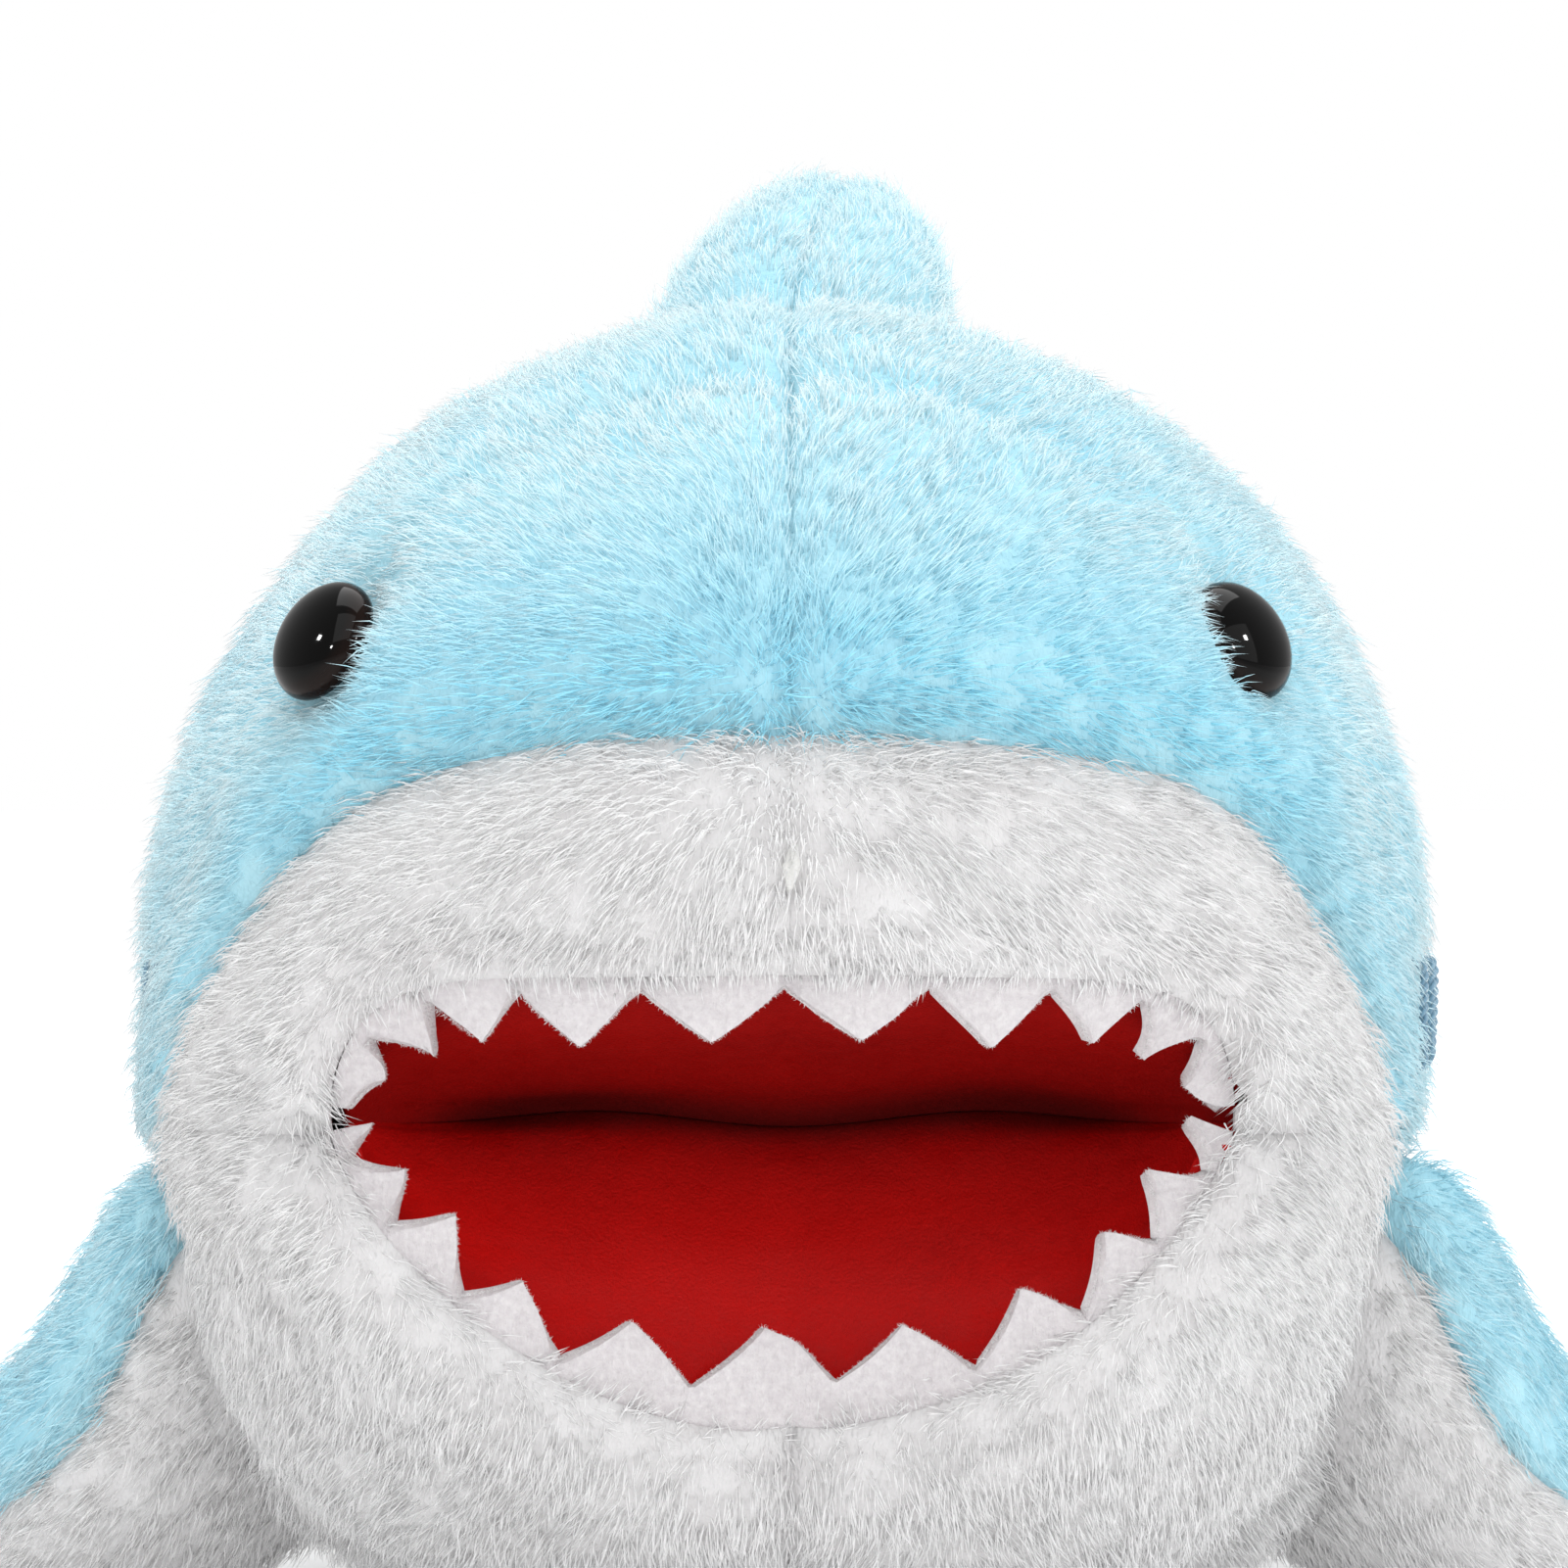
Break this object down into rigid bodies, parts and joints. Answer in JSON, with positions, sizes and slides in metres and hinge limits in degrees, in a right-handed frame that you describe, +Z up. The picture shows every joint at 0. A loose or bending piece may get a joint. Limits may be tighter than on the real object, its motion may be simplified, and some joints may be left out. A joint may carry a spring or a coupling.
{
  "type": "plush shark",
  "caption": "Chubby stuffed shark lying on its belly, long blue and white pile, open red mouth edged with zigzag felt teeth, glossy eyes, sewn flippers and fins.",
  "frame": {"origin": "middle of the footprint, on the surface the toy lies on", "axes": "the nose points to -Y, the tail to +Y, +Z is up, and the toy's own left side is +X"},
  "size_m": [0.4722, 0.6163, 0.3058],
  "materials": {
    "blue_fur": "long fluffy pile, light sky blue",
    "white_fur": "long fluffy pile, white",
    "red_lining": "smooth short-nap red cloth",
    "white_felt": "matte felt with fuzzy cut edges",
    "black_plastic": "high gloss",
    "washer_plastic": "matte",
    "gill_thread": "twisted embroidery thread",
    "fibre_fill": "loose polyester fibre"
  },
  "bodies": {
    "root": {"left_back_panel": "blue_fur", "right_back_panel": "blue_fur", "left_muzzle_panel": "white_fur", "right_muzzle_panel": "white_fur", "left_belly_panel": "white_fur", "right_belly_panel": "white_fur", "body_stuffing": "fibre_fill", "palate_lining": "red_lining", "upper_tooth_strip": "white_felt", "left_eye": "black_plastic", "right_eye": "black_plastic", "left_eye_washer": "washer_plastic", "right_eye_washer": "washer_plastic", "left_gill_stitch_1": "gill_thread", "left_gill_stitch_2": "gill_thread", "left_gill_stitch_3": "gill_thread", "right_gill_stitch_1": "gill_thread", "right_gill_stitch_2": "gill_thread", "right_gill_stitch_3": "gill_thread"},
    "jaw": {"left_chin_panel": "white_fur", "right_chin_panel": "white_fur", "tongue_lining": "red_lining", "lower_tooth_strip": "white_felt", "jaw_stuffing": "fibre_fill"},
    "left_flipper": {"left_flipper_top": "blue_fur", "left_flipper_underside": "white_fur", "left_flipper_stuffing": "fibre_fill"},
    "right_flipper": {"right_flipper_top": "blue_fur", "right_flipper_underside": "white_fur", "right_flipper_stuffing": "fibre_fill"},
    "dorsal_fin": {"dorsal_fin_left": "blue_fur", "dorsal_fin_right": "blue_fur", "dorsal_fin_stuffing": "fibre_fill"},
    "tail": {"left_tail_panel": "blue_fur", "right_tail_panel": "blue_fur", "tail_underside_panel": "white_fur", "tail_stuffing": "fibre_fill", "tail_fin_left": "blue_fur", "tail_fin_right": "blue_fur", "tail_fin_stuffing": "fibre_fill"}
  },
  "joints": [
    {"name": "jaw_squeeze", "type": "hinge", "parent": "root", "child": "jaw", "pos_m": [0, -0.222, 0.104], "axis": [-1, 0, 0], "range_deg": [0, 14], "stiffness_Nm_per_rad": 0.5},
    {"name": "left_flipper_lift", "type": "hinge", "parent": "root", "child": "left_flipper", "pos_m": [0.1295, -0.176, 0.073], "axis": [0, -1, 0], "range_deg": [0, 55], "stiffness_Nm_per_rad": 0.2},
    {"name": "right_flipper_lift", "type": "hinge", "parent": "root", "child": "right_flipper", "pos_m": [-0.1295, -0.176, 0.073], "axis": [0, 1, 0], "range_deg": [0, 55], "stiffness_Nm_per_rad": 0.2},
    {"name": "dorsal_fin_bend", "type": "hinge", "parent": "root", "child": "dorsal_fin", "pos_m": [0, -0.09, 0.252], "axis": [0, 0.9136, -0.4067], "range_deg": [-18, 18], "stiffness_Nm_per_rad": 0.2},
    {"name": "tail_swing", "type": "hinge", "parent": "root", "child": "tail", "pos_m": [0, 0.118, 0.082], "axis": [0, 0, 1], "range_deg": [-20, 20], "stiffness_Nm_per_rad": 0.4}
  ]
}
